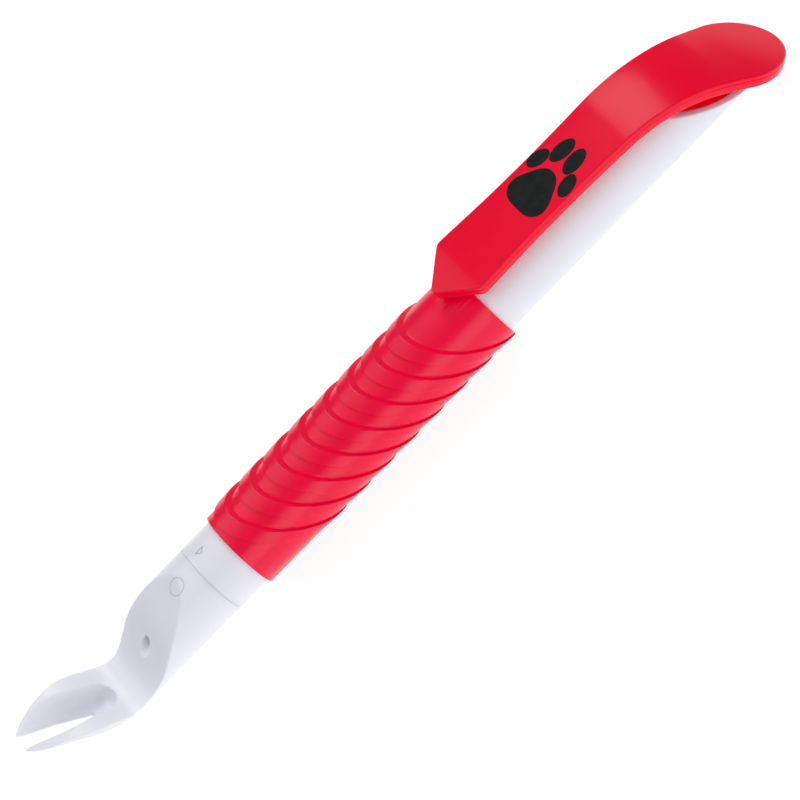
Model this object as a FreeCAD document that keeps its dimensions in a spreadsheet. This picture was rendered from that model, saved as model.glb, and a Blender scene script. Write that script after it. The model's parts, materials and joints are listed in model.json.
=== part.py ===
import FreeCAD, Part
import math
import os

import Sketcher

# Lighted tick hook the size of a pen: a forked white head that turns in the mouth of a
# white barrel, a lamp cartridge with three button cells, a ribbed grip sleeve, a tail
# plug and a pocket clip.
#
# Every piece is drawn in the tool's own axes: X runs from the fork tips to the tail along
# the barrel's axis, Z points to the clip. Each sub-part's Placement then carries it to
# the shared frame, whose origin is under the middle of the tool, at its lowest point.

DIMENSIONS = {
    # overall
    "total_length": 150.0,
    "axis_height": 7.87,
    # barrel and grip sleeve
    "barrel_radius": 6.0,
    "barrel_bore_radius": 4.8,
    "seam_x": 36.3,
    "barrel_end_x": 136.0,
    "barrel_end_angle": 34.0,
    "sleeve_start_x": 42.2,
    "sleeve_length": 50.5,
    "sleeve_radius": 6.6,
    "rib_count": 8,
    "rib_pitch": 5.08,
    "first_rib_x": 52.7,
    "rib_band": 1.8,
    "rib_tilt": 45.0,
    "rib_disc_radius": 6.925,
    "rib_disc_offset": 0.275,
    # pocket clip
    "clip_thickness": 2.0,
    "clip_front_x": 88.8,
    "clip_shoulder_x": 95.1,
    "clip_shoulder_half": 5.7,
    "clip_waist_x": 113.0,
    "clip_waist_half": 5.2,
    "clip_bend_half": 5.95,
    "clip_round_x": 143.6,
    "clip_round_half": 7.0,
    "clip_bend_x": 123.0,
    "clip_bend_z": 8.9,
    "clip_bend_radius": 27.0,
    "clip_front_slope": 1.4,
    "clip_tail_slope": 41.0,
    # tail plug
    "plug_start_x": 124.0,
    "boss_width": 6.0,
    "boss_length": 5.0,
    "boss_x": 136.0,
    "boss_gap": 0.25,
    # fork head
    "head_radius": 6.0,
    "trunk_x": 13.5,
    "fork_slope": 39.0,
    "slot_apex_x": 9.6,
    "slot_apex_z": -2.78,
    "slot_mouth_half": 1.45,
    "slot_root_half": 0.28,
    "slot_draft": 0.8,
    "bowl_floor_x": 9.9,
    "bowl_rear_radius": 2.75,
    "bowl_flare": 6.0,
    "port_radius": 1.0,
    # spigot and its bores
    "spigot_radius": 4.75,
    "spigot_end_x": 42.0,
    "ring_x": 38.6,
    "ring_major": 4.3,
    "ring_minor": 0.48,
    "main_bore_radius": 3.3,
    "main_bore_x": 32.5,
    "lamp_bore_radius": 1.75,
    "lamp_bore_x": 28.2,
    # lamp cartridge
    "lamp_radius": 1.5,
    "lamp_tip_x": 28.5,
    "lamp_length": 4.2,
    "lamp_flange_radius": 1.9,
    "lamp_flange": 0.9,
    "lead_radius": 0.25,
    "lead_pitch": 2.54,
    "holder_radius": 3.2,
    "holder_flange_x": 42.6,
    "holder_flange": 1.4,
    "cartridge_radius": 4.7,
    "sheet_thickness": 0.2,
    "pad_inner": 3.5,
    "pad_outer": 4.6,
    "pad_thickness": 0.35,
    "pad_rest_angle": 180.0,
    "pad_half_angle": 32.0,
    "leaf_angle": 281.0,
    "leaf_half_angle": 19.0,
    "lead_tip_angle": 244.0,
    "cell_radius": 3.95,
    "cell_height": 3.6,
    "cell_cap_radius": 3.1,
    "cell_tube_bore": 4.05,
    "cell_count": 3,
    "contact_radius": 2.6,
    "contact_thickness": 0.4,
    "spring_radius": 2.7,
    "spring_wire": 0.2,
    "spring_pitch": 1.15,
    "spring_length": 3.6,
    "cap_thickness": 1.2,
    "strip_half_width": 1.0,
    "strip_depth": 0.3,
    "strip_tab": 3.0,
}

doc = FreeCAD.newDocument("TickHook")
sheet = doc.addObject("Spreadsheet::Sheet", "Dimensions")


def fill_sheet():
    for row, (alias, number) in enumerate(DIMENSIONS.items(), start=1):
        sheet.set(f"A{row}", alias.replace("_", " "))
        sheet.set(f"B{row}", str(number))
        sheet.setAlias(f"B{row}", alias)
    doc.recompute()


fill_sheet()


def size(alias):
    """The sheet's number for one alias."""
    return float(sheet.get(alias))


def bind(thing, **expressions):
    """Ties properties to expressions on the sheet; double underscores stand for dots."""
    for name, text in expressions.items():
        for alias in sorted(DIMENSIONS, key=len, reverse=True):
            text = text.replace(f"[{alias}]", f"Dimensions.{alias}")
        thing.setExpression(name.replace("__", "."), text)
    return thing


def vector(x=0.0, y=0.0, z=0.0):
    return FreeCAD.Vector(x, y, z)


ALONG_X = FreeCAD.Rotation(vector(y=1), 90)


# ---------------------------------------------------------------- building blocks


def cylinder(name, radius, start, length, y="0", z="0"):
    """A cylinder along X, from station start."""
    rod = doc.addObject("Part::Cylinder", name)
    rod.Placement = FreeCAD.Placement(vector(), ALONG_X)
    bind(rod, Radius=radius, Height=length)
    return bind(rod, Placement__Base__x=start, Placement__Base__y=y, Placement__Base__z=z)


def block(name, low, span):
    """A box from its low corner and its three sizes, all expressions."""
    box = doc.addObject("Part::Box", name)
    bind(box, Length=span[0], Width=span[1], Height=span[2])
    return bind(
        box,
        Placement__Base__x=low[0],
        Placement__Base__y=low[1],
        Placement__Base__z=low[2],
    )


def cut(name, base, tool):
    result = doc.addObject("Part::Cut", name)
    result.Base = base
    result.Tool = tool
    return result


def fuse(name, pieces):
    result = doc.addObject("Part::MultiFuse", name)
    result.Shapes = pieces
    return result


def common(name, pieces):
    result = doc.addObject("Part::MultiCommon", name)
    result.Shapes = pieces
    return result


def plane_sketch(body, role, name):
    """A sketch on one of the body's own origin planes."""
    sketch = body.newObject("Sketcher::SketchObject", name)
    plane = next(f for f in body.Origin.OriginFeatures if f.Role == role)
    sketch.AttachmentSupport = [(plane, "")]
    sketch.MapMode = "FlatFace"
    return sketch


def polygon(sketch, points):
    """Closes the points with straight lines joined end to end."""
    first = sketch.GeometryCount
    for a, b in zip(points, points[1:] + points[:1]):
        sketch.addGeometry(Part.LineSegment(vector(*a), vector(*b)), False)
    last = sketch.GeometryCount - 1
    for edge in range(first, last):
        sketch.addConstraint(Sketcher.Constraint("Coincident", edge, 2, edge + 1, 1))
    sketch.addConstraint(Sketcher.Constraint("Coincident", last, 2, first, 1))


def revolved(label, profile):
    """A body turned about X from the (x, radius) corners of its profile."""
    body = doc.addObject("PartDesign::Body", label)
    sketch = plane_sketch(body, "XZ_Plane", f"{label}_profile")
    polygon(sketch, profile)
    turn = body.newObject("PartDesign::Revolution", f"{label}_turn")
    turn.Profile = sketch
    turn.ReferenceAxis = (sketch, ["H_Axis"])
    turn.Angle = 360.0
    body.Tip = turn
    return body


sub_parts = []


def place(thing, label, start="0"):
    """Names a finished sub-part and moves it from its station to the shared frame."""
    thing.Label = label
    bind(thing, Placement__Base__x=f"{start} - [total_length] / 2")
    bind(thing, Placement__Base__z="[axis_height]")
    sub_parts.append(thing)
    return thing


def feature(label, shape, start="0"):
    """A sub-part whose solid is worked out by functions from the sheet's sizes."""
    thing = doc.addObject("Part::Feature", label)
    thing.Shape = shape
    return place(thing, label, start)


# ---------------------------------------------------------------- clip curve


def clip_line(depth):
    """Corners of the clip's side line at a depth below its upper face, as X-Z vectors.

    The line runs straight from the nose, bends round an arc and runs straight to the
    foot. Each vector holds (x, z), the way a sketch on the X-Z plane takes them.
    """
    front = math.radians(size("clip_front_slope"))
    tail = math.radians(size("clip_tail_slope"))
    outer = size("clip_bend_radius")
    centre_x = size("clip_bend_x") - outer * math.sin(front)
    centre_z = size("clip_bend_z") - outer * math.cos(front)
    centre = vector(centre_x, centre_z)
    radius = outer - depth
    start = centre + vector(math.sin(front), math.cos(front)) * radius
    middle_angle = (front + tail) / 2
    middle = centre + vector(math.sin(middle_angle), math.cos(middle_angle)) * radius
    end = centre + vector(math.sin(tail), math.cos(tail)) * radius
    nose_x = size("clip_front_x")
    nose = vector(nose_x, start.y + (start.x - nose_x) * math.tan(front))
    foot_x = size("total_length") - depth * math.sin(tail)
    foot = vector(foot_x, end.y - (foot_x - end.x) * math.tan(tail))
    return nose, start, middle, end, foot


def clip_curves(depth):
    """The clip's side line as three curves on a sketch plane."""
    nose, start, middle, end, foot = clip_line(depth)
    return [
        Part.LineSegment(nose, start),
        Part.Arc(start, middle, end),
        Part.LineSegment(end, foot),
    ]


def side_prism(curves, half_width):
    """The solid that a closed X-Z outline sweeps across the tool, from -Y to +Y."""
    face = Part.Face(Part.Wire([curve.toShape() for curve in curves]))
    face.rotate(vector(), vector(x=1), 90)
    face.translate(vector(y=half_width))
    return face.extrude(vector(y=-2 * half_width))


def above_clip_line(depth, high=20.0):
    """Everything over the clip's side line at that depth."""
    curves = clip_curves(depth)
    nose = clip_line(depth)[0]
    foot = clip_line(depth)[-1]
    foot_high = vector(foot.x, high)
    nose_high = vector(nose.x, high)
    lid = [
        Part.LineSegment(foot, foot_high),
        Part.LineSegment(foot_high, nose_high),
        Part.LineSegment(nose_high, nose),
    ]
    return side_prism(curves + lid, 12.0)


# ---------------------------------------------------------------- barrel group


def slanted_end(name):
    """A block that trims the barrel and its plug at the tail's slant."""
    box = doc.addObject("Part::Box", name)
    bind(box, Length="60", Width="40", Height="20")
    turn = FreeCAD.Rotation(vector(y=1), size("barrel_end_angle"))
    corner = vector(size("barrel_end_x")) + turn.multVec(vector(-30, -20, 0))
    box.Placement = FreeCAD.Placement(corner, turn)
    return box


def barrel():
    length = "[total_length] - [seam_x]"
    outer = cylinder("barrel_outer", "[barrel_radius]", "[seam_x]", length)
    inner = cylinder("barrel_inner", "[barrel_bore_radius]", "[seam_x]", length)
    tube = cut("barrel_tube", outer, inner)
    return place(cut("barrel_cut", tube, slanted_end("barrel_slant")), "barrel")


def rib(index):
    """One oblique band: a tilted slab's share of a disc set off towards the clip."""
    slab = doc.addObject("Part::Box", f"rib_slab_{index}")
    bind(slab, Length="[rib_band]", Width="40", Height="40")
    turn = FreeCAD.Rotation(vector(y=1), -size("rib_tilt"))
    step_x = size("first_rib_x") + index * size("rib_pitch")
    corner = vector(step_x) + turn.multVec(vector(-size("rib_band"), -20, -20))
    slab.Placement = FreeCAD.Placement(corner, turn)
    disc = cylinder(
        f"rib_disc_{index}",
        "[rib_disc_radius]",
        "[sleeve_start_x]",
        "[sleeve_length]",
        z="[rib_disc_offset]",
    )
    return common(f"rib_{index}", [slab, disc])


def grip_sleeve():
    tube = cylinder("sleeve_outer", "[sleeve_radius]", "[sleeve_start_x]", "[sleeve_length]")
    bore = cylinder("sleeve_bore", "[barrel_radius]", "[sleeve_start_x]", "[sleeve_length]")
    ribs = [rib(index) for index in range(int(size("rib_count")))]
    solid = fuse("sleeve_solid", [tube] + ribs)
    return place(cut("sleeve_cut", solid, bore), "grip_sleeve")


def tail_plug():
    core_length = "[total_length] - [plug_start_x]"
    core = cylinder("plug_core", "[barrel_bore_radius]", "[plug_start_x]", core_length)
    plug = cut("plug_body", core, slanted_end("plug_slant"))
    boss = doc.addObject("Part::Box", "plug_boss")
    bind(boss, Length="[boss_length]", Width="[boss_width]", Height="8")
    turn = FreeCAD.Rotation(vector(y=1), size("clip_tail_slope"))
    reach = vector(-size("boss_length") / 2, -size("boss_width") / 2, -3)
    boss.Placement = FreeCAD.Placement(vector(size("boss_x")) + turn.multVec(reach), turn)
    headroom = doc.addObject("Part::Feature", "clip_headroom")
    headroom.Shape = above_clip_line(size("clip_thickness") + size("boss_gap"))
    boss_end = cut("plug_boss_end", boss, headroom)
    return place(fuse("plug_solid", [plug, boss_end]), "tail_plug")


# ---------------------------------------------------------------- pocket clip


def clip_flank(side):
    """One long edge of the clip's plan, from the nose to the rounded tail."""
    nose = vector(size("clip_front_x"))
    shoulder = vector(size("clip_shoulder_x"), side * size("clip_shoulder_half"))
    waist = vector(size("clip_waist_x"), side * size("clip_waist_half"))
    bend_x = (size("clip_bend_x") + size("clip_round_x")) / 2
    bend = vector(bend_x, side * size("clip_bend_half"))
    round_start = vector(size("clip_round_x"), side * size("clip_round_half"))
    flank = Part.BSplineCurve()
    flank.interpolate([shoulder, waist, bend, round_start])
    return [Part.LineSegment(nose, shoulder), flank]


def pocket_clip():
    """The strip: its side profile padded across, then trimmed to its plan outline."""
    body = doc.addObject("PartDesign::Body", "pocket_clip_body")
    side = plane_sketch(body, "XZ_Plane", "clip_side")
    upper = clip_line(0.0)
    lower = clip_line(size("clip_thickness"))
    ends = [Part.LineSegment(upper[0], lower[0]), Part.LineSegment(upper[-1], lower[-1])]
    for curve in clip_curves(0.0) + clip_curves(size("clip_thickness")) + ends:
        side.addGeometry(curve, False)
    strip = body.newObject("PartDesign::Pad", "clip_strip")
    strip.Profile = side
    strip.Midplane = True
    bind(strip, Length="4 * [clip_round_half]")

    plan = plane_sketch(body, "XY_Plane", "clip_plan")
    for curve in clip_flank(1) + clip_flank(-1):
        plan.addGeometry(curve, False)
    centre = vector(size("clip_round_x"))
    side_end = centre - vector(y=size("clip_round_half"))
    tail_end = vector(size("total_length"))
    rounding = Part.Ellipse(side_end, tail_end, centre)
    plan.addGeometry(Part.ArcOfEllipse(rounding, 0, math.pi), False)
    edge = 20.0
    front_x = size("clip_front_x") - edge
    back_x = size("total_length") + edge
    frame = [(front_x, -edge), (back_x, -edge), (back_x, edge), (front_x, edge)]
    polygon(plan, frame)
    trim = body.newObject("PartDesign::Pocket", "clip_outline")
    trim.Profile = plan
    trim.Type = "ThroughAll"
    trim.Midplane = True
    body.Tip = trim
    return place(body, "pocket_clip")


# ---------------------------------------------------------------- fork head

# Oval sections of the fork, from its tips back to the trunk: (x, centre height, half
# width, half height). Each centre lies on the rim, so the sections are widest there.
FORK_SECTIONS = [
    (0.0, 4.9, 1.7, 0.7), (1.1, 4.45, 2.65, 1.3), (3.4, 4.15, 4.0, 2.6), (6.4, 3.4, 5.05, 4.5),
    (8.9, 2.3, 5.75, 5.55), (10.9, 1.0, 5.85, 5.65),
]

# The head's upper line as (x, z): from the tips over the fork's crest and down to the
# neck, then up the slanted face until it leaves the trunk.
RIM_LINE = [
    (-0.5, 5.2), (1.1, 4.75), (3.4, 4.3), (6.4, 3.5), (8.9, 2.25), (10.9, 0.7), (12.7, -0.9),
    (14.6, -2.4), (16.6, -2.9), (18.4, -2.45), (20.0, -1.6), (21.6, -0.45), (23.2, 0.75),
    (26.4, 2.8), (29.4, 4.2), (33.3, 6.0), (36.0, 7.2),
]


def rod(radius, start, end, y=0.0, z=0.0):
    """A plain cylinder along X between two stations."""
    return Part.makeCylinder(radius, end - start, vector(start, y, z), vector(x=1))


def fork_blank():
    """The solid fork and trunk, before the rim, bowl and slot are cut."""
    sections = []
    for x, z, half_width, half_height in FORK_SECTIONS:
        side = vector(x, half_width, z)
        oval = Part.Ellipse(side, vector(x, 0, z + half_height), vector(x, 0, z))
        halves = [(-math.pi / 2, math.pi / 2), (math.pi / 2, 3 * math.pi / 2)]
        arcs = [Part.ArcOfEllipse(oval, start, end).toShape() for start, end in halves]
        sections.append(Part.Wire(arcs))
    radius = size("head_radius")
    joint = vector(size("trunk_x"))
    low, high = joint - vector(z=radius), joint + vector(z=radius)
    left, right = joint - vector(y=radius), joint + vector(y=radius)
    arcs = [Part.Arc(low, right, high).toShape(), Part.Arc(high, left, low).toShape()]
    sections.append(Part.Wire(arcs))
    fork = Part.makeLoft(sections, True, False)
    trunk = rod(radius, joint.x, size("seam_x"))
    return fork.fuse(trunk)


def rim_cutter():
    """All that lies over the fork's rim, the neck and the slanted face."""
    rim = Part.BSplineCurve()
    rim.interpolate([vector(*point) for point in RIM_LINE])
    high = 20.0
    start = vector(*RIM_LINE[0])
    end = vector(*RIM_LINE[-1])
    back_high = vector(end.x, high)
    start_high = vector(start.x, high)
    outline = [
        rim,
        Part.LineSegment(end, back_high),
        Part.LineSegment(back_high, start_high),
        Part.LineSegment(start_high, start),
    ]
    return side_prism(outline, 12.0)


def fork_direction(extra=0.0):
    """Unit vector along the fork towards its tips, tilted up by some extra degrees."""
    angle = math.radians(size("fork_slope") + extra)
    return vector(-math.cos(angle), 0, math.sin(angle))


def bowl_cutter():
    """The spoon's hollow: a ball at the rear and a cone that opens to the tips."""
    slope = math.radians(size("fork_slope"))
    flare = math.radians(size("bowl_flare"))
    radius = size("bowl_rear_radius")
    upright = vector(math.sin(slope), 0, math.cos(slope))
    apex = vector(size("slot_apex_x"), 0, size("slot_apex_z"))
    back = (size("bowl_floor_x") - apex.x) / math.cos(slope)
    floor = apex - fork_direction() * back
    centre = floor + upright * radius
    axis = fork_direction(size("bowl_flare"))
    length = 22.0
    small = radius * math.cos(flare)
    start = centre - axis * (radius * math.sin(flare))
    cone = Part.makeCone(small, small + length * math.tan(flare), length, start, axis)
    return Part.makeSphere(radius, centre).fuse(cone)


def slot_cutter():
    """The V slot between the blades, wider at the mouth and towards the underside."""
    slope = math.radians(size("fork_slope"))
    upright = vector(math.sin(slope), 0, math.cos(slope))
    apex = vector(size("slot_apex_x"), 0, size("slot_apex_z"))
    mouth = apex + fork_direction() * (apex.x / math.cos(slope) + 4.0)
    wires = []
    for height, widening in ((8.0, 0.0), (0.0, 0.0), (-4.0, size("slot_draft"))):
        root = vector(y=size("slot_root_half") + widening)
        opening = vector(y=size("slot_mouth_half") + 0.5 + widening)
        lift = upright * height
        corners = [apex + root, mouth + opening, mouth - opening, apex - root]
        wires.append(Part.makePolygon([c + lift for c in corners + corners[:1]]))
    return Part.makeLoft(wires, True, True)


def fork_head():
    head = fork_blank().cut(rim_cutter()).cut(bowl_cutter()).cut(slot_cutter())
    spigot_end = size("spigot_end_x")
    head = head.fuse(rod(size("spigot_radius"), size("seam_x") - 1, spigot_end))
    groove = size("ring_minor") + 0.05
    ring_x = size("ring_x")
    floor = size("ring_major") - size("ring_minor") - 0.02
    outside = rod(size("head_radius"), ring_x - groove, ring_x + groove)
    head = head.cut(outside.cut(rod(floor, ring_x - groove, ring_x + groove)))
    head = head.cut(rod(size("main_bore_radius"), size("main_bore_x"), spigot_end))
    head = head.cut(rod(size("lamp_bore_radius"), size("lamp_bore_x"), spigot_end))
    head = head.cut(rod(size("port_radius"), 20.0, size("lamp_bore_x")))
    return feature("fork_head", head.removeSplitter())


def seal_ring():
    ring = doc.addObject("Part::Torus", "seal_ring_torus")
    ring.Placement = FreeCAD.Placement(vector(), ALONG_X)
    bind(ring, Radius1="[ring_major]", Radius2="[ring_minor]")
    return place(ring, "seal_ring", "[ring_x]")


def sector(label, middle_angle, half_angle, thickness, start):
    """A flat ring sector about the axis; angles are in degrees from +Y towards +Z."""
    body = doc.addObject("PartDesign::Body", f"{label}_body")
    sketch = plane_sketch(body, "YZ_Plane", f"{label}_outline")
    low = math.radians(middle_angle - half_angle)
    high = math.radians(middle_angle + half_angle)
    inner = size("pad_inner")
    outer = size("pad_outer")
    for radius in (inner, outer):
        circle = Part.Circle(vector(), vector(z=1), radius)
        sketch.addGeometry(Part.ArcOfCircle(circle, low, high), False)
    for angle in (low, high):
        ray = vector(math.cos(angle), math.sin(angle))
        sketch.addGeometry(Part.LineSegment(ray * inner, ray * outer), False)
    pad = body.newObject("PartDesign::Pad", f"{label}_pad")
    pad.Profile = sketch
    bind(pad, Length=thickness)
    body.Tip = pad
    return place(body, label, start)


def switch_pad():
    start = "[spigot_end_x]"
    return sector("switch_pad", size("pad_rest_angle"), size("pad_half_angle"), "[pad_thickness]", start)


# ---------------------------------------------------------------- lamp cartridge


def wire(points, radius):
    """A wire of straight runs with ball corners."""
    pieces = []
    for a, b in zip(points, points[1:]):
        pieces.append(Part.makeCylinder(radius, (b - a).Length, a, b - a))
    for corner in points[1:-1]:
        pieces.append(Part.makeSphere(radius, corner))
    if len(pieces) == 1:
        return pieces[0]
    return pieces[0].fuse(pieces[1:])


def lead_routes():
    """The two leads' centre lines, from inside the lamp to their contacts."""
    start_x = size("lamp_tip_x") + size("lamp_length") - 0.6
    side = size("lead_pitch") / 2
    contact_x = size("holder_flange_x") + size("holder_flange")
    anode = [vector(start_x, side), vector(contact_x, side)]
    turn_x = size("holder_flange_x") + size("holder_flange") / 2
    angle = math.radians(size("lead_tip_angle"))
    reach = (size("pad_inner") + size("pad_outer")) / 2
    tip_y = reach * math.cos(angle)
    tip_z = reach * math.sin(angle)
    tip_x = size("holder_flange_x") - size("sheet_thickness")
    cathode = [
        vector(start_x, -side),
        vector(turn_x, -side),
        vector(turn_x, tip_y, tip_z),
        vector(tip_x, tip_y, tip_z),
    ]
    return anode, cathode


def leads():
    anode, cathode = lead_routes()
    feature("anode_lead", wire(anode, size("lead_radius")))
    feature("cathode_lead", wire(cathode, size("lead_radius")))


def lead_holes(name, slack):
    """Both leads' room, as a cutting tool."""
    anode, cathode = lead_routes()
    radius = size("lead_radius") + slack
    holes = doc.addObject("Part::Feature", name)
    holes.Shape = Part.makeCompound([wire(anode, radius), wire(cathode, radius)])
    return holes


def lamp():
    """A clear round lamp: dome, body and flange in one turned profile."""
    body = doc.addObject("PartDesign::Body", "lamp_body")
    sketch = plane_sketch(body, "XZ_Plane", "lamp_profile")
    tip = size("lamp_tip_x")
    radius = size("lamp_radius")
    end = tip + size("lamp_length")
    base = end + size("lamp_flange")
    flange = size("lamp_flange_radius")
    dome = Part.Circle(vector(tip + radius), vector(z=1), radius)
    sketch.addGeometry(Part.ArcOfCircle(dome, math.pi / 2, math.pi), False)
    corners = [
        vector(tip + radius, radius),
        vector(end, radius),
        vector(end, flange),
        vector(base, flange),
        vector(base),
        vector(tip),
    ]
    for a, b in zip(corners, corners[1:]):
        sketch.addGeometry(Part.LineSegment(a, b), False)
    turn = body.newObject("PartDesign::Revolution", "lamp_turn")
    turn.Profile = sketch
    turn.ReferenceAxis = (sketch, ["H_Axis"])
    turn.Angle = 360.0
    body.Tip = turn
    return place(cut("lamp_cut", body, lead_holes("lamp_lead_holes", 0.0)), "lamp")


def strip_groove(name):
    """Room for the return strip along the outside of the cartridge."""
    return block(
        name,
        ("[holder_flange_x] - 1", "-[strip_half_width]", "-[cartridge_radius] - 1"),
        ("40", "2 * [strip_half_width]", "1 + [strip_depth]"),
    )


def lamp_holder():
    start = "[lamp_tip_x] + [lamp_length] + [lamp_flange]"
    neck_length = f"[holder_flange_x] - ({start})"
    neck = cylinder("holder_neck", "[holder_radius]", start, neck_length)
    flange = cylinder("holder_flange", "[cartridge_radius]", "[holder_flange_x]", "[holder_flange]")
    solid = fuse("holder_solid", [neck, flange])
    drilled = cut("holder_drilled", solid, lead_holes("holder_lead_holes", 0.08))
    return place(cut("holder_cut", drilled, strip_groove("holder_groove")), "lamp_holder")


def switch_leaf():
    start = "[holder_flange_x] - [sheet_thickness]"
    return sector("switch_leaf", size("leaf_angle"), size("leaf_half_angle"), "[sheet_thickness]", start)


def disc(label, radius, thickness, start):
    """A round disc on the axis, padded from a circle whose radius follows the sheet."""
    body = doc.addObject("PartDesign::Body", f"{label}_body")
    sketch = plane_sketch(body, "YZ_Plane", f"{label}_circle")
    sketch.addGeometry(Part.Circle(vector(), vector(z=1), 1.0), False)
    sketch.addConstraint(Sketcher.Constraint("Coincident", 0, 3, -1, 1))
    sketch.addConstraint(Sketcher.Constraint("Radius", 0, 1.0))
    sketch.renameConstraint(1, "radius")
    bind(sketch, Constraints__radius=radius)
    pad = body.newObject("PartDesign::Pad", f"{label}_pad")
    pad.Profile = sketch
    bind(pad, Length=thickness)
    body.Tip = pad
    return place(body, label, start)


def centre_contact():
    start = "[holder_flange_x] + [holder_flange]"
    return disc("centre_contact", "[contact_radius]", "[contact_thickness]", start)


CELL_START = "[holder_flange_x] + [holder_flange] + [contact_thickness]"
CELLS_END = f"{CELL_START} + [cell_count] * [cell_height]"


def cell_tube():
    start = "[holder_flange_x] + [holder_flange]"
    end = f"{CELLS_END} + [spring_length] + [cap_thickness]"
    length = f"{end} - ({start})"
    outer = cylinder("cell_tube_outer", "[cartridge_radius]", start, length)
    inner = cylinder("cell_tube_inner", "[cell_tube_bore]", start, length)
    tube = cut("cell_tube_ring", outer, inner)
    return place(cut("cell_tube_cut", tube, strip_groove("cell_tube_groove")), "cell_tube")


def button_cell(index):
    """A cell: a can with a rounded-off shoulder and a smaller cap towards the lamp."""
    height = size("cell_height")
    radius = size("cell_radius")
    cap = size("cell_cap_radius")
    profile = [
        (0, 0),
        (0, cap),
        (0.55, cap),
        (0.55, radius - 0.3),
        (0.85, radius),
        (height, radius),
        (height, 0),
    ]
    body = revolved(f"cell_{index}_body", profile)
    start = f"{CELL_START} + {index - 1} * [cell_height]"
    return place(body, f"button_cell_{index}", start)


def cell_spring():
    """A round wire swept along a helix between the last cell and the cap."""
    wire_radius = size("spring_wire")
    coil_radius = size("spring_radius")
    height = size("spring_length") - 2 * wire_radius
    helix = Part.Wire(Part.makeHelix(size("spring_pitch"), height, coil_radius).Edges)
    section = Part.Wire(Part.Circle(vector(coil_radius), vector(y=1), wire_radius).toShape())
    coil = helix.makePipeShell([section], True, True)
    coil.rotate(vector(), vector(y=1), 90)
    return feature("cell_spring", coil, f"{CELLS_END} + [spring_wire]")


def spring_cap():
    start = f"{CELLS_END} + [spring_length]"
    return disc("spring_cap", "[cell_tube_bore]", "[cap_thickness]", start)


def contact_strip():
    """An L of sheet brass: along the tube's groove, then in over the cap."""
    start = "[holder_flange_x]"
    end = f"{CELLS_END} + [spring_length] + [cap_thickness]"
    wide = "2 * [strip_half_width]"
    edge = "-[strip_half_width]"
    low = "-[cartridge_radius] + [strip_depth] - [sheet_thickness]"
    run = block("strip_run", (start, edge, low), (f"{end} - ({start})", wide, "[sheet_thickness]"))
    tab = block("strip_tab", (end, edge, low), ("[sheet_thickness]", wide, "[strip_tab]"))
    return place(fuse("strip_solid", [run, tab]), "contact_strip")


# ---------------------------------------------------------------- build and write


def check_document():
    """Stops the build if any object failed or any sub-part has no sound solid."""
    doc.recompute()
    for thing in doc.Objects:
        if "Invalid" in thing.State or "Error" in thing.State:
            raise RuntimeError(f"{thing.Name} is {thing.State}")
    for thing in sub_parts:
        if thing.Shape.isNull() or not thing.Shape.isValid() or not thing.Shape.Solids:
            raise RuntimeError(f"{thing.Label} has no valid solid")


def build():
    fork_head()
    seal_ring()
    switch_pad()
    lamp()
    leads()
    lamp_holder()
    switch_leaf()
    centre_contact()
    cell_tube()
    for index in range(1, int(size("cell_count")) + 1):
        button_cell(index)
    cell_spring()
    spring_cap()
    contact_strip()
    barrel()
    grip_sleeve()
    tail_plug()
    pocket_clip()


build()
check_document()
os.makedirs("parts", exist_ok=True)
whole = FreeCAD.BoundBox()
for thing in sub_parts:
    thing.Shape.exportStep(f"parts/{thing.Label}.step")
    whole.add(thing.Shape.BoundBox)
    solids = len(thing.Shape.Solids)
    print(f"{thing.Label}: {solids} solid, {thing.Shape.Volume:.1f} cubic mm")
print("overall box", whole)
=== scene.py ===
# %% [markdown]
# # A pen-shaped tick hook
# The object is a hand tool the size of a fat pen. A white forked hook turns in the mouth
# of a white barrel, a red rubbery sleeve gives the fingers a grip, and a red clip holds
# the tool in a pocket. The solid model comes in as a frame of named parts; this lesson
# gives each part the soft edges, small marks and surface that a moulded piece has.

# %% Load the frame
import json
import math

import bmesh
import bpy
from mathutils import Matrix, Vector
from mathutils.bvhtree import BVHTree


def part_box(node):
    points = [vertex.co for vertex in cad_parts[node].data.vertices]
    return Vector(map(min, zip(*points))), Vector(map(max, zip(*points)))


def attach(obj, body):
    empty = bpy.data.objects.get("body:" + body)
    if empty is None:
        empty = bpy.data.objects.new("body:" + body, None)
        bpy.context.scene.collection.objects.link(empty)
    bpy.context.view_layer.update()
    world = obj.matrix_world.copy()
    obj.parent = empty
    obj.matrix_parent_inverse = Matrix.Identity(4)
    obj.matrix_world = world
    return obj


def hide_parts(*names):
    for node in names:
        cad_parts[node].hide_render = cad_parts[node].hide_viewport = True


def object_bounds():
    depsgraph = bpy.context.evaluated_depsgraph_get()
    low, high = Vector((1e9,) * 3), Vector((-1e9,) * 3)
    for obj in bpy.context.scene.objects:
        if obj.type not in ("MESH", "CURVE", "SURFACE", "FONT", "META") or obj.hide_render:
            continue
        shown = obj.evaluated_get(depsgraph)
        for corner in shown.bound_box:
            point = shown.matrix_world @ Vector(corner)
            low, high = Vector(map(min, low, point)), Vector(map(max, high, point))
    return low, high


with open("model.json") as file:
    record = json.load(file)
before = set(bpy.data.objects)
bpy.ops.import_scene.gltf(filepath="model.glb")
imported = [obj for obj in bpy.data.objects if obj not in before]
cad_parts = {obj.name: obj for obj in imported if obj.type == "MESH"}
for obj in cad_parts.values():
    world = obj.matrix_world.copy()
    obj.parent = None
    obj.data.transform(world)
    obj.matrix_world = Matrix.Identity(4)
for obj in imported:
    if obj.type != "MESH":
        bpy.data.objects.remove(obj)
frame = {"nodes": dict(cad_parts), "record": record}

cad_low, cad_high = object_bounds()

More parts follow.
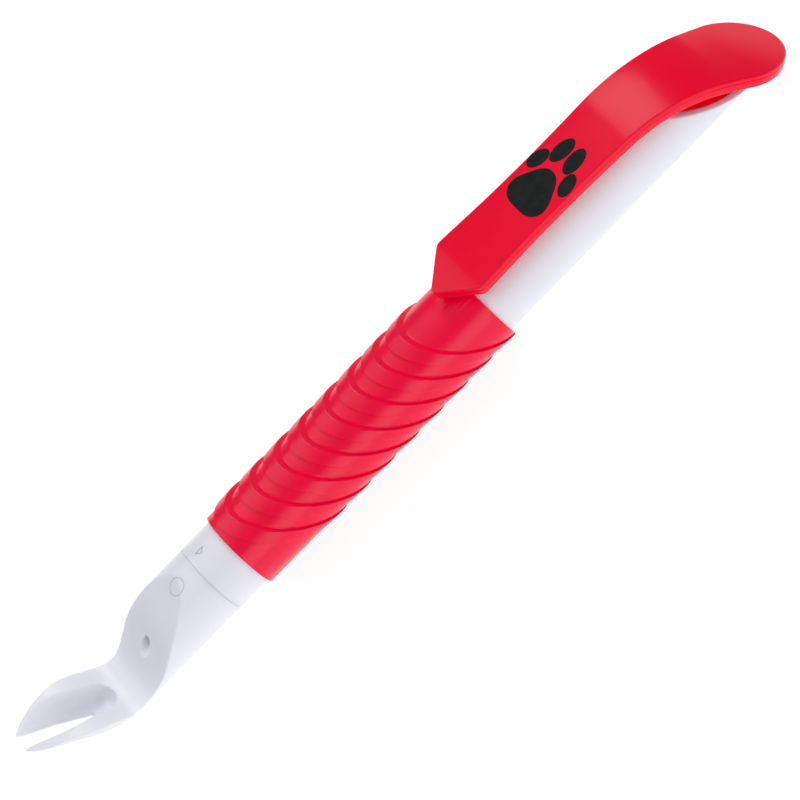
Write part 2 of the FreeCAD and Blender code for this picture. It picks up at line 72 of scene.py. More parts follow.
# %% [markdown]
# ## Measuring the frame
# A turned or moulded tool is easiest to think about along its own axis. So every piece is
# drawn in millimetres, with X counted from the fork tips and the barrel's axis at zero
# height, and one matrix carries the finished mesh to its place. The matrix is read from
# the frame's boxes, so nothing has to be fitted by eye.

# %% The tool's own axes
MM = 0.001
barrel_low, barrel_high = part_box("barrel")
sleeve_low, sleeve_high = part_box("grip_sleeve")
clip_low, clip_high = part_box("pocket_clip")

barrel_radius = (barrel_high.y - barrel_low.y) / 2 / MM
axis_height = barrel_low.z + barrel_radius * MM
tool_to_frame = Matrix.Translation((cad_low.x, 0, axis_height)) @ Matrix.Scale(MM, 4)


def station(x):
    """How far a frame X lies from the fork tips, in millimetres."""
    return (x - cad_low.x) / MM


seam_at = station(barrel_low.x)
tail_at = station(cad_high.x)
sleeve_from = station(sleeve_low.x)
sleeve_to = station(sleeve_high.x)
clip_from = station(clip_low.x)
print(f"barrel radius {barrel_radius:.2f}, seam {seam_at:.1f}, sleeve {sleeve_from:.1f}"
      f" to {sleeve_to:.1f}, clip {clip_from:.1f} to {tail_at:.1f} mm")

# %% [markdown]
# ## Plastic, with something to look at
# Moulded plastic is never one flat colour. The pigment drifts a little from place to
# place, handling polishes it unevenly, and the mould leaves a fine grain. One helper
# builds all of that from three noises on Object coordinates, which are metres here, so a
# scale of 1000 gives spots of about a millimetre. What is the same all over the surface
# is typed straight on the shader's sockets.

# %% A helper for node materials
def linked(tree, kind, inputs=None, **settings):
    """Adds a node, sets its properties and fills or links its inputs."""
    node = tree.nodes.new(kind)
    for name, value in settings.items():
        setattr(node, name, value)
    for name, value in (inputs or {}).items():
        if isinstance(value, bpy.types.NodeSocket):
            tree.links.new(value, node.inputs[name])
        else:
            node.inputs[name].default_value = value
    return node


def noise(tree, place, scale, detail=3.0, rough=0.55):
    """A noise read from Object coordinates."""
    settings = {"Vector": place, "Scale": scale, "Detail": detail, "Roughness": rough}
    return linked(tree, "ShaderNodeTexNoise", settings).outputs["Fac"]


def between(tree, factor, low, high, start=0.3, end=0.7):
    """A number that drifts from low to high as the factor goes from start to end."""
    limits = {"Value": factor, "From Min": start, "From Max": end, "To Min": low, "To Max": high}
    return linked(tree, "ShaderNodeMapRange", limits).outputs["Result"]


def surface(name, colour, second, gloss, drift=160.0, grain=2500.0, grain_height=0.004,
            wave=0.0, scratches=0.0, **sockets):
    """A material with drifting colour, uneven polish, grain and faint scratches.

    gloss is the lowest and highest roughness. Heights are in millimetres.
    """
    material = bpy.data.materials.new(name)
    material.use_nodes = True
    material.diffuse_color = (*colour, 1.0)
    tree = material.node_tree
    shader = tree.nodes["Principled BSDF"]
    place = linked(tree, "ShaderNodeTexCoord").outputs["Object"]
    drifting = between(tree, noise(tree, place, drift), 0.0, 1.0)
    tint = linked(tree, "ShaderNodeMix", data_type="RGBA")
    tree.links.new(drifting, tint.inputs["Factor"])
    tint.inputs["A"].default_value = (*colour, 1.0)
    tint.inputs["B"].default_value = (*second, 1.0)
    tree.links.new(tint.outputs["Result"], shader.inputs["Base Color"])
    polish = between(tree, noise(tree, place, drift * 2.5, 5.0), *gloss)
    tree.links.new(polish, shader.inputs["Roughness"])

    height = noise(tree, place, grain, 2.0)
    bump = linked(tree, "ShaderNodeBump", {"Height": height, "Strength": 1.0})
    bump.inputs["Distance"].default_value = grain_height * MM
    if wave:
        sink = noise(tree, place, 90.0, 1.0)
        lower = {"Height": sink, "Strength": 1.0, "Normal": bump.outputs["Normal"]}
        bump = linked(tree, "ShaderNodeBump", lower)
        bump.inputs["Distance"].default_value = wave * MM
    if scratches:
        streaks = linked(tree, "ShaderNodeMapping", {"Vector": place})
        streaks.inputs["Scale"].default_value = (60.0, 1900.0, 1900.0)
        streaks.inputs["Rotation"].default_value = (0.0, 0.05, 0.12)
        line = noise(tree, streaks.outputs["Vector"], 1.0, 2.0)
        thin = between(tree, line, 0.0, 1.0, 0.66, 0.72)
        lower = {"Height": thin, "Strength": 1.0, "Normal": bump.outputs["Normal"]}
        bump = linked(tree, "ShaderNodeBump", lower, invert=True)
        bump.inputs["Distance"].default_value = scratches * MM
    tree.links.new(bump.outputs["Normal"], shader.inputs["Normal"])
    for socket, value in sockets.items():
        shader.inputs[socket.replace("_", " ")].default_value = value
    return material


# %% [markdown]
# ## The finishes of this tool
# White parts are ABS: slightly blue-white, smooth, and a little soft under the surface.
# The clip is glossy red ABS with the long faint scratches of a pocket, and the sleeve is
# a satin rubbery red whose grain breaks the highlights up. Inside are brass, steel,
# tinned wire, black nylon and the lamp's clear epoxy.

# %% Finishes
white_abs = surface("white_abs", (0.85, 0.85, 0.925), (0.83, 0.83, 0.90), (0.30, 0.42),
                    grain_height=0.0015, wave=0.01, scratches=0.0008,
                    Subsurface_Weight=0.35, Subsurface_Scale=0.0015,
                    Subsurface_Radius=(1.0, 1.0, 1.0), Specular_IOR_Level=0.4)
red_plastic = surface("glossy_red_abs", (0.95, 0.0, 0.034), (0.92, 0.0, 0.031),
                      (0.17, 0.21), grain_height=0.0008, wave=0.008, scratches=0.0004,
                      Specular_IOR_Level=0.22)
red_grip = surface("satin_red_rubber", (0.94, 0.0, 0.048), (0.91, 0.0, 0.044),
                   (0.20, 0.27), grain=3600.0, grain_height=0.014,
                   Specular_IOR_Level=0.32)
# The marks' grey is painted shade, a dark line where shade falls along the small ring and
# pointer.
mark_shade_grey = surface("marks_painted_shade_grey", (0.62, 0.62, 0.67), (0.55, 0.55, 0.60), (0.4, 0.5))
print_black = surface("printed_black", (0.008, 0.010, 0.010), (0.014, 0.017, 0.016),
                      (0.35, 0.5), drift=700.0, grain=4000.0, Specular_IOR_Level=0.08)
brass = surface("sheet_brass", (0.72, 0.50, 0.20), (0.62, 0.41, 0.15), (0.22, 0.38),
                scratches=0.002, Metallic=1.0)
cell_steel = surface("nickelled_cell_steel", (0.66, 0.65, 0.62), (0.56, 0.55, 0.53),
                     (0.18, 0.32), scratches=0.002, Metallic=1.0)
spring_steel = surface("drawn_spring_steel", (0.50, 0.50, 0.51), (0.40, 0.40, 0.42),
                       (0.24, 0.36), Metallic=1.0)
tinned_wire = surface("tinned_wire", (0.68, 0.68, 0.69), (0.55, 0.55, 0.57), (0.28, 0.42),
                      Metallic=1.0)
black_plastic = surface("black_nylon", (0.02, 0.02, 0.022), (0.034, 0.034, 0.036),
                        (0.40, 0.56), grain_height=0.006)
black_rubber = surface("black_rubber", (0.014, 0.014, 0.015), (0.026, 0.026, 0.027),
                       (0.55, 0.72), grain_height=0.008)
clear_epoxy = surface("clear_epoxy", (0.93, 0.95, 0.96), (0.90, 0.93, 0.95), (0.04, 0.10),
                      grain_height=0.0005, Transmission_Weight=1.0, IOR=1.54)

finish_of_slot = {
    "white_abs": white_abs, "red_grip": red_grip, "red_plastic": red_plastic,
    "clear_epoxy": clear_epoxy, "tinned_wire": tinned_wire,
    "black_plastic": black_plastic, "sheet_brass": brass, "cell_steel": cell_steel,
    "spring_steel": spring_steel, "black_rubber": black_rubber,
}
print("finishes", sorted(material.name for material in bpy.data.materials))

# %% [markdown]
# ## Parts that stay as they are
# The cartridge inside the barrel has the right shapes already: cells, holder, spring,
# contacts and lamp. A CAD node's mesh is never edited, but its material slot is ours to
# fill, so each node gets the finish of the slot that its record names.

# %% Finish the frame's own nodes
slot_of_node = {part["node"]: part["material_slot"] for part in frame["record"]["subparts"]}
for node_name, node in frame["nodes"].items():
    finish = finish_of_slot[slot_of_node[node_name]]
    if not node.data.materials:
        node.data.materials.append(finish)
    for index in range(len(node.data.materials)):
        node.data.materials[index] = finish

# %% [markdown]
# ## From a bmesh to a finished piece
# Each new piece is built in a bmesh and then handed over in the same way: faces turned
# outwards, smooth shading broken only at real corners, the mesh carried to its place, a
# finish, and the body that it moves with.

# %% Hand a piece over
def hand_over(bm, name, finish, body, replaces=(), corner=40.0):
    """Makes the bmesh an object of the frame, riding on its body."""
    bmesh.ops.remove_doubles(bm, verts=bm.verts, dist=1e-4)
    bmesh.ops.recalc_face_normals(bm, faces=bm.faces)
    for face in bm.faces:
        face.smooth = True
    for edge in bm.edges:
        edge.smooth = edge.calc_face_angle(0.0) < math.radians(corner)
    bmesh.ops.transform(bm, matrix=tool_to_frame, verts=bm.verts)
    mesh = bpy.data.meshes.new(name)
    bm.to_mesh(mesh)
    open_edges = sum(1 for edge in bm.edges if not edge.is_manifold)
    bm.free()
    mesh.materials.append(finish)
    piece = bpy.data.objects.new(name, mesh)
    bpy.context.scene.collection.objects.link(piece)
    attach(piece, body)
    if replaces:
        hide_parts(*replaces)
    print(f"{name}: {len(mesh.polygons)} faces, {open_edges} open edges, on {body}")


# %% [markdown]
# ## The barrel
# On the real tool this is a plain white tube with a slanted tail. It could be a cylinder
# with a boolean, but a wall section spun round the axis gives clean quads and lets the
# mouth have its tiny chamfers. A bisect then cuts the slant, the two cut rings are
# bridged, and a bevel softens the new rim.

# %% Spin the barrel
AXIS = Vector((1, 0, 0))


def spin_section(corners, steps):
    """Spins a closed wall section, given as station and radius pairs, round the axis."""
    bm = bmesh.new()
    verts = [bm.verts.new((x, 0, radius)) for x, radius in corners]
    edges = [bm.edges.new((a, b)) for a, b in zip(verts, verts[1:] + verts[:1])]
    bmesh.ops.spin(bm, geom=verts + edges, cent=(0, 0, 0), axis=AXIS,
                   angle=math.tau, steps=steps, use_merge=True)
    bmesh.ops.remove_doubles(bm, verts=bm.verts, dist=1e-5)
    return bm


def cut_off(bm, point, normal):
    """Cuts away what lies beyond a plane and bridges the wall's two open rings."""
    everything = bm.verts[:] + bm.edges[:] + bm.faces[:]
    result = bmesh.ops.bisect_plane(bm, geom=everything, plane_co=point, plane_no=normal,
                                    clear_outer=True, dist=1e-6)
    rings = [g for g in result["geom_cut"] if isinstance(g, bmesh.types.BMEdge)]
    bmesh.ops.bridge_loops(bm, edges=rings)
    return rings


def soften(bm, edges, width, segments=3):
    """Rounds the given edges."""
    edges = [edge for edge in edges if edge.is_valid]
    bmesh.ops.bevel(bm, geom=edges, offset=width, segments=segments, profile=0.5,
                    affect="EDGES", material=-1, clamp_overlap=True)


bore_radius = 4.8
lip = 0.12
barrel_section = [
    (seam_at, bore_radius + lip), (seam_at, barrel_radius - lip),
    (seam_at + lip, barrel_radius), (tail_at, barrel_radius),
    (tail_at, bore_radius), (seam_at + lip, bore_radius),
]
slant_point = Vector((136.0, 0, 0))
slant = math.radians(34.0)
slant_normal = Vector((math.sin(slant), 0, math.cos(slant)))

bm = spin_section(barrel_section, 160)
rim = cut_off(bm, slant_point, slant_normal)
soften(bm, rim, 0.22)
hand_over(bm, "white_barrel", white_abs, "barrel", ["barrel"])

# %% [markdown]
# ## The grip sleeve
# The sleeve is a soft red tube with eight oblique ribs, tall on the clip's side and dying
# away below. Ribs could be booleans, but their edges would be ragged. Here the trick is a
# shear: a tube is spun with its rings packed along each rib's edges, each ring is swollen
# by the rib's height at that angle, and then the whole tube is sheared by 45 degrees, so
# every ring lies exactly along its rib. Two square cuts give the ends.

# %% The rib's section
sleeve_radius = 6.6
rib_steps = 8
rib_pitch = 5.08
first_rib = 52.7
# distance from the rib's tail-side foot towards the head, share of the tail edge's
# height, share of the head edge's height, and depth of the shadow line, in millimetres
rib_rows = [
    (-0.60, 0.0, 0.0, 0.0), (-0.26, 0.0, 0.0, 0.0), (-0.16, 0.0, 0.0, 0.03),
    (-0.09, 0.0, 0.0, 0.08), (-0.01, 0.0, 0.0, 0.08), (0.04, 0.90, 0.0, 0.0),
    (0.10, 1.0, 0.0, 0.0), (0.22, 0.97, 0.03, 0.0), (0.75, 0.72, 0.28, 0.0),
    (1.25, 0.50, 0.50, 0.0), (1.8, 0.25, 0.75, 0.0), (2.26, 0.06, 0.94, 0.0),
    (2.38, 0.0, 1.0, 0.0), (2.44, 0.0, 0.92, 0.0), (2.52, 0.0, 0.05, 0.02),
    (2.60, 0.0, 0.0, 0.035), (2.72, 0.0, 0.0, 0.0), (3.1, 0.0, 0.0, 0.0),
    (3.7, 0.0, 0.0, 0.0), (4.2, 0.0, 0.0, 0.0),
]


def rib_height(row, lean):
    """Height of one ring where lean is 1 on the clip's side and -1 underneath."""
    tail_edge = 0.37 + 0.23 * lean
    head_edge = 0.30 + 0.28 * lean
    return row[1] * tail_edge + row[2] * head_edge - row[3]


# %% Spin, swell, shear and cut the sleeve
reach = sleeve_radius + 2.0
outer_rows = []
for index in range(rib_steps):
    foot = first_rib + index * rib_pitch
    outer_rows += [(foot - row[0], row) for row in rib_rows]
flat = (0.0, 0.0, 0.0, 0.0)
outer_rows += [(sleeve_from - reach, flat), (first_rib + rib_steps * rib_pitch, flat),
               (sleeve_to + reach, flat)]
outer_rows.sort(key=lambda item: item[0])
row_at = {round(x, 4): row for x, row in outer_rows}

section = [(x, sleeve_radius) for x, row in outer_rows]
section += [(x, barrel_radius + 0.01) for x in (sleeve_to + reach, sleeve_from - reach)]
bm = spin_section(section, 192)
for vert in bm.verts:
    radius = math.hypot(vert.co.y, vert.co.z)
    if radius > sleeve_radius - 0.1:
        swell = rib_height(row_at[round(vert.co.x, 4)], vert.co.z / radius)
        vert.co.y *= 1 + swell / radius
        vert.co.z *= 1 + swell / radius
    vert.co.x -= vert.co.z
ends = cut_off(bm, Vector((sleeve_to, 0, 0)), AXIS)
ends += cut_off(bm, Vector((sleeve_from, 0, 0)), -AXIS)
outer_ends = [edge for edge in ends if edge.is_valid
              and math.hypot(edge.verts[0].co.y, edge.verts[0].co.z) > sleeve_radius - 0.1]
soften(bm, outer_ends, 0.16)
hand_over(bm, "ribbed_grip_sleeve", red_grip, "barrel", ["grip_sleeve"],
          corner=38.0)

# %% [markdown]
# ## The pocket clip
# A glossy strip: arrow-shaped nose, narrow waist, and a broad round foot that bends down
# over the tail. It is drawn flat first, because flat work is easy to measure: a disc is
# pulled into the plan outline, extruded to its thickness, given rounded rims and a mould
# line round its wall, and sliced across. Only then is it bent along the side curve.

# %% The clip's plan and side curves
thickness = 2.0
clip_half = (clip_high.y - clip_low.y) / 2 / MM
nose_round = 0.9
shoulder = (95.1, 5.7)
flank = [(95.1, 5.7), (104.0, 5.3), (113.0, 5.2), (123.0, 5.45), (133.3, 5.95),
         (143.6, clip_half)]
foot_length = tail_at - flank[-1][0]


def smooth_between(points, x):
    """A smooth line through the points, by cubic pieces with matched slopes."""
    last = len(points) - 1
    slopes = []
    for i in range(last + 1):
        a, b = points[max(i - 1, 0)], points[min(i + 1, last)]
        slopes.append((b[1] - a[1]) / (b[0] - a[0]))
    i = max(k for k in range(last) if x >= points[k][0] or k == 0)
    (x0, y0), (x1, y1) = points[i], points[i + 1]
    step = x1 - x0
    t = min(max((x - x0) / step, 0.0), 1.0)
    start = (1 + 2 * t) * (1 - t) ** 2 * y0 + t * (1 - t) ** 2 * step * slopes[i]
    end = t * t * (3 - 2 * t) * y1 + t * t * (t - 1) * step * slopes[i + 1]
    return start + end


def half_width(x):
    """Half the clip's width at a station."""
    if x > flank[-1][0]:
        share = min((x - flank[-1][0]) / foot_length, 1.0)
        return clip_half * math.sqrt(max(0.0, 1 - share * share))
    centre = clip_from + nose_round
    lean = math.atan2(shoulder[1] - nose_round * 0.67, shoulder[0] - centre - 0.4)
    arc_end = centre - nose_round * math.sin(lean)
    if x < arc_end:
        return math.sqrt(max(0.0, nose_round ** 2 - (x - centre) ** 2))
    slope = nose_round * math.cos(lean) + (x - arc_end) * math.tan(lean)
    side = smooth_between(flank, max(x, shoulder[0]))
    blend = 0.45
    gap = max(blend - abs(slope - side), 0.0) / blend
    return min(slope, side) - gap * gap * blend / 4


bend_at = (123.0, 8.9)
bend_radius = 27.0
front_slope = math.radians(1.4)
tail_slope = math.radians(41.0)
bend_centre = (bend_at[0] - bend_radius * math.sin(front_slope),
               bend_at[1] - bend_radius * math.cos(front_slope))


def clip_side(x):
    """Height of the clip's upper face and its slope down towards the tail."""
    if x < bend_at[0]:
        return bend_at[1] + (bend_at[0] - x) * math.tan(front_slope), front_slope
    slope = math.asin(min((x - bend_centre[0]) / bend_radius, math.sin(tail_slope)))
    height = bend_centre[1] + bend_radius * math.cos(slope)
    beyond = x - bend_centre[0] - bend_radius * math.sin(slope)
    return height - beyond * math.tan(tail_slope), slope


def bend_over_tail(bm):
    """Bends flat work: X stays the station and depth runs square to the curve."""
    for vert in bm.verts:
        height, slope = clip_side(vert.co.x)
        depth = -vert.co.z
        vert.co.x -= depth * math.sin(slope)
        vert.co.z = height - depth * math.cos(slope)


# %% Draw, extrude, soften and bend the clip
bm = bmesh.new()
bmesh.ops.create_circle(bm, cap_ends=True, radius=1.0, segments=220)
length = tail_at - clip_from
for vert in bm.verts:
    side = 1 if vert.co.y > 0 else -1
    x = clip_from + length * (1 + vert.co.x) / 2
    on_axis = abs(vert.co.y) < 1e-6
    vert.co = Vector((x, 0 if on_axis else side * half_width(x), 0))
top = bm.faces[:]
grown = bmesh.ops.extrude_face_region(bm, geom=top)
walls_down = [g for g in grown["geom"] if isinstance(g, bmesh.types.BMVert)]
bmesh.ops.translate(bm, vec=(0, 0, -thickness), verts=walls_down)
bmesh.ops.recalc_face_normals(bm, faces=bm.faces)
rims = [edge for edge in bm.edges if edge.calc_face_angle(0.0) > math.radians(60)
        and abs(edge.verts[0].co.z - edge.verts[1].co.z) < 1e-6]
soften(bm, rims, 0.26, 4)

mould_line = -0.72
for height in (mould_line + 0.1, mould_line, mould_line - 0.1):
    bmesh.ops.bisect_plane(bm, geom=bm.verts[:] + bm.edges[:] + bm.faces[:],
                           plane_co=(0, 0, height), plane_no=(0, 0, 1), dist=1e-6)
for vert in bm.verts:
    if abs(vert.co.z - mould_line) < 1e-4:
        vert.co -= Vector((vert.normal.x, vert.normal.y, 0)) * 0.09
slices = [clip_from + 1.0 + 1.5 * i for i in range(22)]
slices += [bend_at[0] - 1.0 + 0.45 * i for i in range(44)]
slices += [tail_at - 8.0 + 1.0 * i for i in range(8)]
for x in slices:
    bmesh.ops.bisect_plane(bm, geom=bm.verts[:] + bm.edges[:] + bm.faces[:],
                           plane_co=(x, 0, 0), plane_no=(1, 0, 0), dist=1e-6)
bend_over_tail(bm)
hand_over(bm, "pocket_clip_strip", red_plastic, "clip", ["pocket_clip"])

# %% [markdown]
# ## A printed paw
# The clip carries a black print. A plain paw is four oval toes and a rounded heel. Each
# is a disc drawn flat, given a hair of thickness like a real pad print, and bent with the
# same side curve as the clip, so that it lies on the plastic.

# %% Print the paw
paw_at = 111.6
heel = (-2.6, 0.0, 3.7, 3.9, 0.0)
toes = [(1.4, -3.65, 1.95, 1.25, 16.0), (1.4, 3.65, 1.95, 1.25, -16.0),
        (4.6, -1.5, 2.3, 1.35, 6.0), (4.6, 1.5, 2.3, 1.35, -6.0)]
print_height = 0.03

bm = bmesh.new()
for forward, across, long, wide, turn in [heel] + toes:
    made = bmesh.ops.create_circle(bm, cap_ends=True, radius=1.0, segments=64)
    for vert in made["verts"]:
        angle = math.atan2(vert.co.y, vert.co.x)
        pinch = 1 + 0.11 * math.cos(3 * angle) if turn == 0.0 else 1.0
        vert.co = Vector((vert.co.x * long * pinch, vert.co.y * wide * pinch, 0))
    spot = Matrix.Translation((paw_at + forward, across, print_height))
    spot = spot @ Matrix.Rotation(math.radians(turn), 4, "Z")
    bmesh.ops.transform(bm, matrix=spot, verts=made["verts"])
grown = bmesh.ops.extrude_face_region(bm, geom=bm.faces[:])
lower = [g for g in grown["geom"] if isinstance(g, bmesh.types.BMVert)]
bmesh.ops.translate(bm, vec=(0, 0, -2 * print_height), verts=lower)
bend_over_tail(bm)
hand_over(bm, "paw_print", print_black, "clip")

# %% [markdown]
# ## Softening a moulded shape
# The fork head and the tail plug have shapes that no simple operator makes, and the
# frame's solids already have them, only with knife-sharp edges. A voxel remesh turns the
# shape into an even skin, and a few rounds of smoothing melt the edges as a mould does.

# %% Soften a copy of a node
def softened(node_name, voxel, rounds):
    """A bmesh in tool axes of the node's shape, remeshed and smoothed."""
    bm = bmesh.new()
    bm.from_mesh(frame["nodes"][node_name].data)
    bmesh.ops.transform(bm, matrix=tool_to_frame.inverted(), verts=bm.verts)
    bmesh.ops.remove_doubles(bm, verts=bm.verts, dist=1e-3)
    mesh = bpy.data.meshes.new("rough_copy")
    bm.to_mesh(mesh)
    bm.free()
    rough = bpy.data.objects.new("rough_copy", mesh)
    bpy.context.scene.collection.objects.link(rough)
    skin = rough.modifiers.new("skin", "REMESH")
    skin.mode = "VOXEL"
    skin.voxel_size = voxel
    skinned = rough.evaluated_get(bpy.context.evaluated_depsgraph_get())
    bm = bmesh.new()
    bm.from_mesh(skinned.to_mesh())
    skinned.to_mesh_clear()
    bpy.data.objects.remove(rough)
    for factor in [0.5, -0.52] * rounds:
        bmesh.ops.smooth_vert(bm, verts=bm.verts, factor=factor, use_axis_x=True,
                              use_axis_y=True, use_axis_z=True)
    print(f"softened {node_name}: {len(bm.verts)} points")
    return bm


# %% [markdown]
# ## The forked head
# This is the working end: two tines with a V slot between them, a spoon behind the slot,
# and a slanted face with the port that the lamp shines through. It turns in the barrel's
# mouth, so it rides on its own body, and its rounded shoulder is what draws the fine
# dark seam line. After the even softening, plain smoothing melts the edges a little more,
# most of all round the bowl, whose rim has no hard line. The tips are left sharp.

# %% Soften the head
def melt(bm, points, rounds):
    """Rounds off the edges among some points, and leaves the rest alone."""
    for step in range(rounds):
        bmesh.ops.smooth_vert(bm, verts=points, factor=0.5, use_axis_x=True,
                              use_axis_y=True, use_axis_z=True)
    print(f"melted {len(points)} points {rounds} times")


skin_step = 0.153
tips_end, face_end = 2.5, 33.0
bowl_from, bowl_to = 4.0, 14.5
bowl_half, bowl_floor = 3.9, -2.4

bm = softened("fork_head", skin_step, 3)
melt(bm, [vert for vert in bm.verts if tips_end < vert.co.x < face_end], 3)
bowl_rim = [vert for vert in bm.verts if bowl_from < vert.co.x < bowl_to
            and abs(vert.co.y) < bowl_half and vert.co.z > bowl_floor]
melt(bm, bowl_rim, 12)
head_tree = BVHTree.FromBMesh(bm)
hand_over(bm, "forked_head", white_abs, "head", ["fork_head"], corner=180.0)

# %% [markdown]
# ## Marks that line up
# A small raised ring on the head and a pointer on the barrel's collar show when the lamp
# is on. The ring is a thin bead spun round a little circle, and the pointer a triangle
# whose inside is taken out after an inset. Both are drawn flat over the tool and dropped
# on the surface by casting a ray from every point. Their grey is painted shade: it stands
# in for the thin dark line that shade draws along such a small mark.

# %% Drop flat work on a round surface
def dropped(bm, tree, x, around, lift):
    """Moves flat work to a station and an angle from the top, and lays it on the skin."""
    up = Vector((0, -math.sin(around), math.cos(around)))
    across = Vector((0, math.cos(around), math.sin(around)))
    for vert in bm.verts:
        start = Vector((x + vert.co.x, 0, 0)) + across * vert.co.y + up * 12
        hit = tree.ray_cast(start, -up)[0]
        vert.co = hit + up * (vert.co.z + lift)


def bead_ring(radius, bead, steps):
    """A thin bead spun round a circle, lying flat."""
    bm = bmesh.new()
    made = bmesh.ops.create_circle(bm, cap_ends=False, radius=bead, segments=10)
    stand = Matrix.Translation((radius, 0, 0)) @ Matrix.Rotation(math.pi / 2, 4, "X")
    bmesh.ops.transform(bm, matrix=stand, verts=made["verts"])
    bmesh.ops.spin(bm, geom=bm.verts[:] + bm.edges[:], cent=(0, 0, 0), axis=(0, 0, 1),
                   angle=math.tau, steps=steps, use_merge=True)
    bmesh.ops.remove_doubles(bm, verts=bm.verts, dist=1e-5)
    return bm


ring_at = 32.5
ring_angle = math.radians(9.0)
bead = 0.09

bm = bead_ring(1.32, bead, 72)
dropped(bm, head_tree, ring_at, ring_angle, -0.05)
# The ring's grey finish is painted shade.
hand_over(bm, "head_ring_mark", mark_shade_grey, "head")

# %% The collar's pointer
pointer_at = seam_at + 2.2
pointer_angle = math.radians(-3.0)
pointer_line = 0.14
pointer_height = 0.06

collar = bmesh.new()
bmesh.ops.create_cone(collar, cap_ends=False, segments=160, radius1=barrel_radius,
                      radius2=barrel_radius, depth=12)
turn = Matrix.Translation((seam_at + 3, 0, 0)) @ Matrix.Rotation(math.pi / 2, 4, "Y")
bmesh.ops.transform(collar, matrix=turn, verts=collar.verts)
collar_tree = BVHTree.FromBMesh(collar)
collar.free()

bm = bmesh.new()
bmesh.ops.create_circle(bm, cap_ends=True, radius=1.0, segments=3)
outline = bmesh.ops.inset_region(bm, faces=bm.faces[:], use_boundary=True,
                                 use_even_offset=True, thickness=pointer_line)
inner = [face for face in bm.faces if face not in outline["faces"]]
bmesh.ops.delete(bm, geom=inner, context="FACES")
bmesh.ops.subdivide_edges(bm, edges=bm.edges[:], cuts=4, use_grid_fill=True)
grown = bmesh.ops.extrude_face_region(bm, geom=bm.faces[:])
upper = [g for g in grown["geom"] if isinstance(g, bmesh.types.BMVert)]
bmesh.ops.translate(bm, vec=(0, 0, pointer_height), verts=upper)
stretch = Matrix.Rotation(math.pi, 4, "Z") @ Matrix.Diagonal((1.0, 0.62, 1.0, 1.0))
bmesh.ops.transform(bm, matrix=stretch, verts=bm.verts)
dropped(bm, collar_tree, pointer_at, pointer_angle, 0.0)
# The pointer's grey finish is painted shade.
hand_over(bm, "collar_pointer", mark_shade_grey, "barrel")

# %% [markdown]
# ## The tail plug
# A red plug closes the tube and carries the clip. Only its slanted face and a little
# boss show, deep in the shadow under the clip's foot.

# %% Soften the plug
bm = softened("tail_plug", 0.16, 3)
hand_over(bm, "red_tail_plug", red_plastic, "barrel", ["tail_plug"],
          corner=180.0)

# %% [markdown]
# ## Floor, lamps and camera
# The tool lies over a white table that glows a little, as on a light table, so that
# shadows stay faint. Long soft boxes behind and in front draw the bands on the round
# parts, and a third near the tail catches the clip's bend. Each is made of boxes of
# different depth that overlap, so that its inner edge fades in steps. The last tail box
# shows only in the gloss, or the clip would grow too bright. The camera looks down from
# the front with the tool climbing across the picture.

# %% The table
table = bmesh.new()
bmesh.ops.create_circle(table, cap_ends=True, radius=4.0, segments=96)
bmesh.ops.translate(table, vec=(0, 0, cad_low.z - 0.0005), verts=table.verts)
table_mesh = bpy.data.meshes.new("table")
table.to_mesh(table_mesh)
table.free()
table_white = surface("table_white", (0.16, 0.16, 0.16), (0.15, 0.15, 0.15), (0.8, 0.9),
                      Specular_IOR_Level=0.05, Emission_Color=(1.0, 1.0, 1.0, 1.0),
                      Emission_Strength=0.92)
table_mesh.materials.append(table_white)
table_top = bpy.data.objects.new("table", table_mesh)
bpy.context.scene.collection.objects.link(table_top)

# %% Soft boxes
target = Vector((-0.0009, -0.0012, axis_height - 0.00095))
elevation = math.radians(52.0)
yaw = math.radians(3.6)
to_camera = Vector((math.sin(yaw), -math.cos(elevation) * math.cos(yaw),
                    math.sin(elevation) * math.cos(yaw)))
behind = Vector((0, math.sin(elevation), math.cos(elevation)))


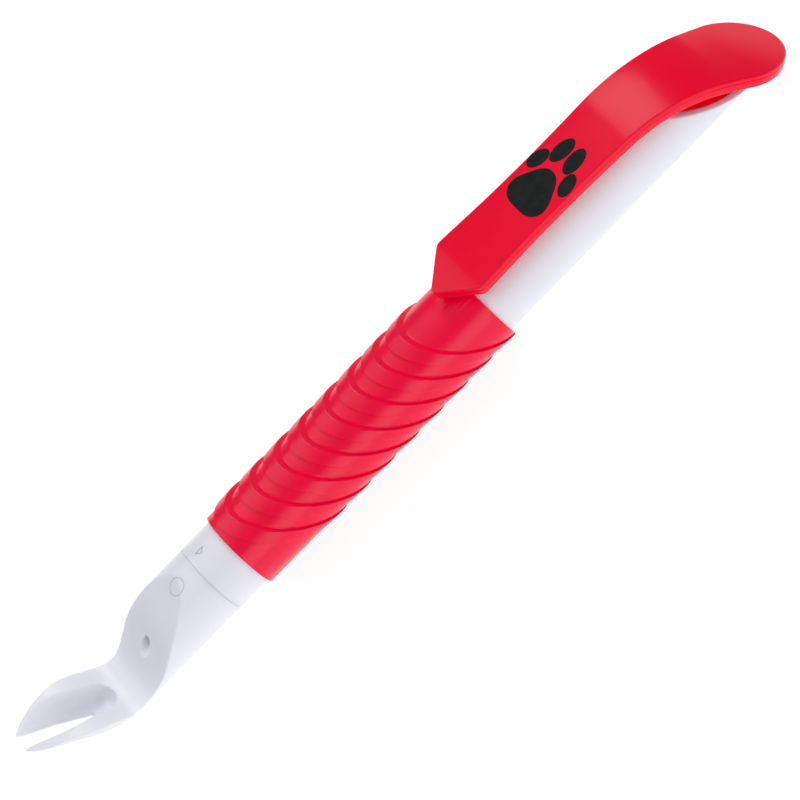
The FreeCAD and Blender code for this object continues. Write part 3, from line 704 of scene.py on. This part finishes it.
def soft_box(name, low_angle, high_angle, left, right, brightness, gloss=True, diffuse=True):
    """A rectangle of light that fills a range of angles from the camera towards behind."""
    distance = 0.5  # metres from the tool
    middle = math.radians((low_angle + high_angle) / 2)
    spread = math.radians((high_angle - low_angle) / 2)
    flat_camera = Vector((0, to_camera.y, to_camera.z)).normalized()
    away = flat_camera * math.cos(middle) + behind * math.sin(middle)
    lamp = bpy.data.lights.new(name, "AREA")
    lamp.shape = "RECTANGLE"
    lamp.size = right - left
    lamp.size_y = 2 * distance * math.tan(spread)
    lamp.energy = brightness * math.pi * lamp.size * lamp.size_y
    box = bpy.data.objects.new(name, lamp)
    box.location = target + away * distance + Vector(((left + right) / 2, 0, 0))
    box.rotation_mode = "QUATERNION"
    columns = Matrix((AXIS, away.cross(AXIS), away)).transposed()
    box.rotation_quaternion = columns.to_quaternion()
    box.visible_glossy = gloss
    box.visible_diffuse = diffuse
    bpy.context.scene.collection.objects.link(box)


for step, low_angle in enumerate((22.0, 34.0, 46.0, 58.0)):
    soft_box(f"box_behind_{step + 1}", low_angle, 92.0, -0.42, -0.02, 0.33)
for step, high_angle in enumerate((-13.0, -19.0, -26.0)):
    soft_box(f"box_front_{step + 1}", -64.0, high_angle, -0.30, 0.45, 0.6)
for step, left in enumerate((0.105, 0.125, 0.15)):
    soft_box(f"box_tail_{step + 1}", 58.0, 92.0, left, 0.36, 2.5, diffuse=step < 2)
soft_box("fill_above", 0.0, 75.0, -0.35, 0.35, 0.42, gloss=False)

world = bpy.data.worlds.new("pale_room")
world.use_nodes = True
world.node_tree.nodes["Background"].inputs["Color"].default_value = (1.0, 1.0, 1.0, 1.0)
world.node_tree.nodes["Background"].inputs["Strength"].default_value = 0.18
bpy.context.scene.world = world
bpy.context.scene.view_settings.view_transform = "Standard"

# %% The camera
roll = math.radians(45.7)
camera_distance = 0.506
along = (AXIS - to_camera * AXIS.dot(to_camera)).normalized()
aside = to_camera.cross(along)
right_hand = along * math.cos(roll) - aside * math.sin(roll)
upward = along * math.sin(roll) + aside * math.cos(roll)
camera_data = bpy.data.cameras.new("camera")
camera_data.lens = 157.0
camera_data.sensor_width = 36.0
camera_data.clip_start = 0.01
camera_data.clip_end = 20.0
camera = bpy.data.objects.new("camera", camera_data)
turned = Matrix((right_hand, upward, to_camera)).transposed().to_4x4()
camera.matrix_world = Matrix.Translation(target + to_camera * camera_distance) @ turned
bpy.context.scene.collection.objects.link(camera)
bpy.context.scene.camera = camera

# %% Finish
bpy.context.view_layer.update()
